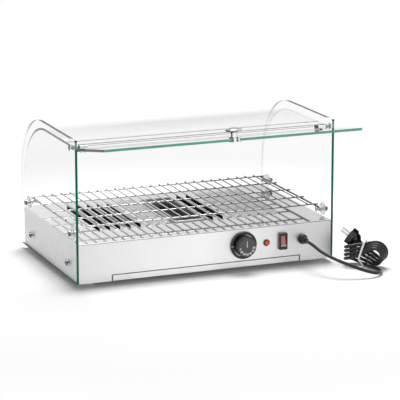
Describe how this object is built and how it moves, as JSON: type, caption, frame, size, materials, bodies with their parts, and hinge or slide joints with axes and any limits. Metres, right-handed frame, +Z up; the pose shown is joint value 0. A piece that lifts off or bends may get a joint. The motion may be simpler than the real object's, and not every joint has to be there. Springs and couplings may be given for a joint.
{
  "type": "heated display case",
  "caption": "Countertop heated food display case with a stainless base, clear side panes, a bent roof that runs down as the rear wall, a lift-up front flap and a wire rack",
  "frame": {"origin": "on the counter under the middle of the case and its open flap", "axes": "+X to the right along the front, +Y from the front to the back, +Z up"},
  "size_m": [0.6466, 0.5072, 0.3308],
  "materials": {
    "steel_polished": "stainless sheet, brushed front, bright deck",
    "steel": "plain stainless and zinc-plated steel",
    "aluminium": "dull grey drawn sheet",
    "glass": "clear float glass with green edges",
    "clear_acrylic": "clear bent plastic sheet",
    "chrome": "bright chromed steel",
    "black_rubber": "black rubber",
    "clear_plastic": "milky clear plastic",
    "white_plastic": "white plastic",
    "black_plastic": "black moulded plastic",
    "dark_plastic": "dark moulded plastic",
    "grey_plastic": "grey satin plastic",
    "amber_lens": "orange translucent plastic",
    "red_plastic": "red gloss plastic",
    "element_steel": "heat-tinted steel tube",
    "cord": "black flexible cord jacket"
  },
  "bodies": {
    "case": {"base_shell": "steel_polished", "side_plate_left": "steel", "side_plate_right": "steel", "bottom_plate": "steel", "crumb_tray_guides": "steel", "side_glass_left": "glass", "side_glass_right": "glass", "roof_panel": "clear_acrylic", "rear_wall_screws": "chrome", "glass_screw_washers": "black_rubber", "glass_screws": "chrome", "rivet_nuts": "steel", "rack_pins": "steel", "rack_pin_discs": "clear_plastic", "rack_pin_caps": "chrome", "hinge_bushes": "white_plastic", "thermostat_ring": "black_plastic", "thermostat_body": "dark_plastic", "thermostat_screws": "steel", "pilot_lens": "amber_lens", "pilot_body": "white_plastic", "switch_frame": "black_plastic", "cable_gland": "black_plastic", "gland_nut": "black_plastic", "control_shield": "steel", "heating_elements": "element_steel", "element_nuts": "steel", "element_hangers": "steel", "terminal_block": "white_plastic", "feet": "black_rubber", "foot_screws": "steel", "foot_nuts": "steel", "cord_lead": "cord", "cord_hank": "cord", "cord_tie": "white_plastic", "plug_body": "black_plastic", "plug_pins": "chrome"},
    "flap": {"door_glass": "glass", "hinge_clamp_left": "chrome", "hinge_clamp_right": "chrome", "clamp_screws": "steel", "hinge_pins": "steel", "hinge_caps": "chrome", "handle_clamp": "chrome", "handle_knob": "chrome", "handle_screw": "steel"},
    "dial": {"thermostat_knob": "grey_plastic", "thermostat_shaft": "steel"},
    "rocker": {"switch_rocker": "red_plastic"},
    "crumb_drawer": {"crumb_tray": "steel"},
    "rack": {"wire_rack": "chrome"},
    "water_pan": {"water_tray": "aluminium"}
  },
  "joints": [
    {"name": "door_hinge", "type": "hinge", "parent": "case", "child": "flap", "pos_m": [0, -0.0799, 0.2809], "axis": [1, 0, 0], "range_deg": [-130, 100.7]},
    {"name": "thermostat_turn", "type": "hinge", "parent": "case", "child": "dial", "pos_m": [0.078, -0.1039, 0.0556], "axis": [0, 1, 0], "range_deg": [-90, 180]},
    {"name": "switch_tilt", "type": "hinge", "parent": "case", "child": "rocker", "pos_m": [0.1645, -0.1071, 0.056], "axis": [1, 0, 0], "range_deg": [0, 20]},
    {"name": "crumb_tray_slide", "type": "slide", "parent": "case", "child": "crumb_drawer", "axis": [0, -1, 0], "range_m": [0, 0.3]},
    {"name": "rack_lift", "type": "slide", "parent": "case", "child": "rack", "axis": [0, 0, 1], "range_m": [0, 0.09]},
    {"name": "water_tray_lift", "type": "slide", "parent": "case", "child": "water_pan", "axis": [0, 0, 1], "range_m": [0, 0.015]}
  ]
}
